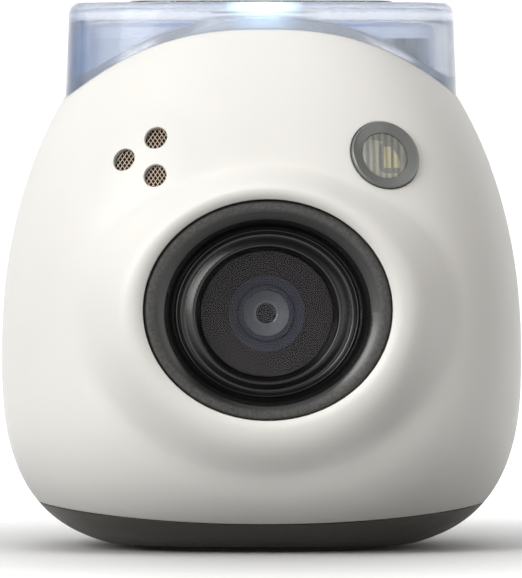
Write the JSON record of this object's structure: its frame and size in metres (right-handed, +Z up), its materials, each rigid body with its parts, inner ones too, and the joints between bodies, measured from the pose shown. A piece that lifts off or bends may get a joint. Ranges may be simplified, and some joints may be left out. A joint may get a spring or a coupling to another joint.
{
  "type": "palm digital camera",
  "caption": "Palm-size rounded digital camera with recessed lens, LED flash, speaker holes, light-up clear top and a large sprung release button at the back",
  "frame": {"origin": "centre of the camera on its standing surface", "axes": "+Z up, -Y out of the lens, +X to the right seen from the front"},
  "size_m": [0.0422, 0.043, 0.0444],
  "materials": {
    "shell_white": "satin warm white moulding",
    "base_dark": "satin dark warm grey",
    "foot_dark": "matte soft foot",
    "clear_top": "clear glossy",
    "diffuser_white": "translucent white",
    "led_blue": "lit, emissive",
    "top_plate": "frosted clear",
    "bezel_black": "fine textured black",
    "lens_glass": "coated",
    "mask_black": "dark plum print",
    "barrel_blue": "anodised blue grey",
    "ring_silver": "fine turned",
    "element_glass": "coated",
    "black_plastic": "moulded",
    "sensor": "chip package",
    "board_green": "solder mask",
    "flex_amber": "polyimide",
    "flash_rim": "smoked grey",
    "flash_lens": "ribbed frosted",
    "flash_cup": "bright reflector",
    "led_yellow": "phosphor",
    "mesh_bronze": "woven dark bronze",
    "gasket": "foam",
    "steel": "stamped",
    "frame_grey": "moulded",
    "battery_silver": "foil pouch",
    "chip_black": "chip package",
    "button_white": "satin warm white moulding",
    "ring_grey": "satin warm grey",
    "screw_steel": "zinc plated",
    "spring_steel": "drawn wire",
    "brass": "turned"
  },
  "bodies": {
    "case": {"front_shell": "shell_white", "rear_shell": "shell_white", "base_cover": "base_dark", "foot_plate": "foot_dark", "tripod_bush": "brass", "usb_c_shell": "steel", "usb_c_tongue": "black_plastic", "card_socket": "steel", "card_board": "board_green", "power_switch": "black_plastic", "base_board": "board_green", "base_screws": "screw_steel", "lens_bezel": "bezel_black", "cover_glass": "lens_glass", "glass_mask": "mask_black", "lens_barrel": "barrel_blue", "lens_ring": "ring_silver", "front_lens": "element_glass", "aperture_ring": "ring_silver", "rear_lens": "element_glass", "ir_filter": "element_glass", "sensor_holder": "black_plastic", "image_sensor": "sensor", "sensor_board": "board_green", "sensor_flex": "flex_amber", "flash_bezel": "flash_rim", "flash_window": "flash_lens", "flash_reflector": "flash_cup", "flash_leds": "led_yellow", "flash_board": "board_green", "speaker_mesh": "mesh_bronze", "speaker_gasket": "gasket", "speaker": "black_plastic", "light_cap": "clear_top", "top_plate": "top_plate", "light_tray": "diffuser_white", "light_board": "board_green", "light_leds": "led_blue", "light_diffuser": "diffuser_white", "light_posts": "steel", "inner_frame": "frame_grey", "frame_screws": "screw_steel", "main_board": "board_green", "board_chips": "chip_black", "shield_can": "steel", "flex_socket": "black_plastic", "battery": "battery_silver", "battery_connector": "black_plastic", "shutter_ring": "ring_grey", "shutter_switch": "black_plastic", "shutter_board": "board_green", "board_screws": "screw_steel", "shutter_spring": "spring_steel"},
    "shutter": {"shutter_button": "button_white"},
    "power": {"power_button": "ring_grey"}
  },
  "joints": [
    {"name": "shutter_press", "type": "slide", "parent": "case", "child": "shutter", "axis": [0, -1, 0], "range_m": [0, 0.0008], "stiffness_N_per_m": 900, "springref_m": -0.0005, "deforming": ["shutter_spring"]},
    {"name": "power_press", "type": "slide", "parent": "case", "child": "power", "axis": [0, 0, 1], "range_m": [0, 0.0005], "stiffness_N_per_m": 1200, "springref_m": -0.0004}
  ]
}
